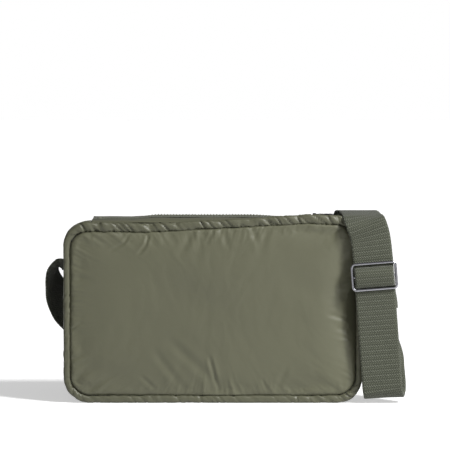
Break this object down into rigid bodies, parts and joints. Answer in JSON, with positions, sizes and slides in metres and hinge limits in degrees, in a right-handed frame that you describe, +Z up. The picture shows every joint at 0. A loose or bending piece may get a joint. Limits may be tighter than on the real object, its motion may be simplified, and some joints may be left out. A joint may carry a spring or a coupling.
{
  "type": "crossbody purse",
  "caption": "Padded box-shaped crossbody purse with a zipped top, puffed welts and a long webbing strap with a sliding adjuster.",
  "frame": {"origin": "centre of the flat base of the bag, on the surface it stands on", "axes": "+X along the bag's width towards the strap's adjuster, -Y out of the front panel, +Z up"},
  "size_m": [0.2922, 0.12, 0.1547],
  "materials": {
    "nylon": "satin padded nylon",
    "wadding": "soft polyester wadding",
    "lining": "plain woven lining",
    "tape": "woven tape",
    "teeth": "moulded teeth",
    "webbing": "heavy ribbed webbing",
    "metal": "polished dark nickel"
  },
  "bodies": {
    "root": {"front_panel": "nylon", "front_wadding": "wadding", "front_lining": "lining", "back_panel": "nylon", "back_wadding": "wadding", "back_lining": "lining", "gusset": "nylon", "gusset_wadding": "wadding", "gusset_lining": "lining", "front_welt": "nylon", "back_welt": "nylon", "front_binding": "tape", "back_binding": "tape", "zip_bottom_stop": "teeth", "zip_top_stops": "teeth", "left_zip_tab": "nylon", "right_zip_tab": "nylon", "ring_tab": "webbing", "strap_left": "webbing", "strap_hank": "webbing", "strap_riser": "webbing", "strap_top": "webbing", "strap_front": "webbing", "strap_back": "webbing", "strap_return": "webbing", "strap_end": "webbing"},
    "front_mouth": {"front_facing": "nylon", "front_zip_tape": "tape", "front_zip_teeth": "teeth"},
    "back_mouth": {"back_facing": "nylon", "back_zip_tape": "tape", "back_zip_teeth": "teeth"},
    "slider": {"zip_slider": "metal"},
    "pull": {"zip_pull": "metal"},
    "ring": {"side_ring": "metal", "ring_wrap": "webbing"},
    "adjuster": {"adjuster_frame": "metal", "adjuster_bar": "metal", "adjuster_weave": "webbing"}
  },
  "joints": [
    {"name": "zip_slide", "type": "slide", "parent": "root", "child": "slider", "axis": [-1, 0, 0], "range_m": [0, 0.16]},
    {"name": "front_mouth_open", "type": "hinge", "parent": "root", "child": "front_mouth", "pos_m": [0, -0.0294, 0.1452], "axis": [1, 0, 0], "range_deg": [0, 56], "deforming": ["front_zip_tape", "front_zip_teeth"]},
    {"name": "back_mouth_open", "type": "hinge", "parent": "root", "child": "back_mouth", "pos_m": [0, 0.0294, 0.1452], "axis": [-1, 0, 0], "range_deg": [0, 56], "deforming": ["back_zip_tape", "back_zip_teeth"]},
    {"name": "pull_flip", "type": "hinge", "parent": "slider", "child": "pull", "pos_m": [0.082, 0, 0.1497], "axis": [0, -1, 0], "range_deg": [0, 165]},
    {"name": "ring_swing", "type": "hinge", "parent": "root", "child": "ring", "pos_m": [0.127, 0, 0.101], "axis": [0, -1, 0], "range_deg": [-8, 25], "deforming": ["ring_wrap"]},
    {"name": "adjuster_slide", "type": "slide", "parent": "root", "child": "adjuster", "axis": [0.0767, 0, -0.9971], "range_m": [-0.022, 0.04]}
  ],
  "couplings": [
    {"joint": "front_mouth_open", "follows": "zip_slide", "rad_per_m": 6},
    {"joint": "back_mouth_open", "follows": "zip_slide", "rad_per_m": 6}
  ]
}
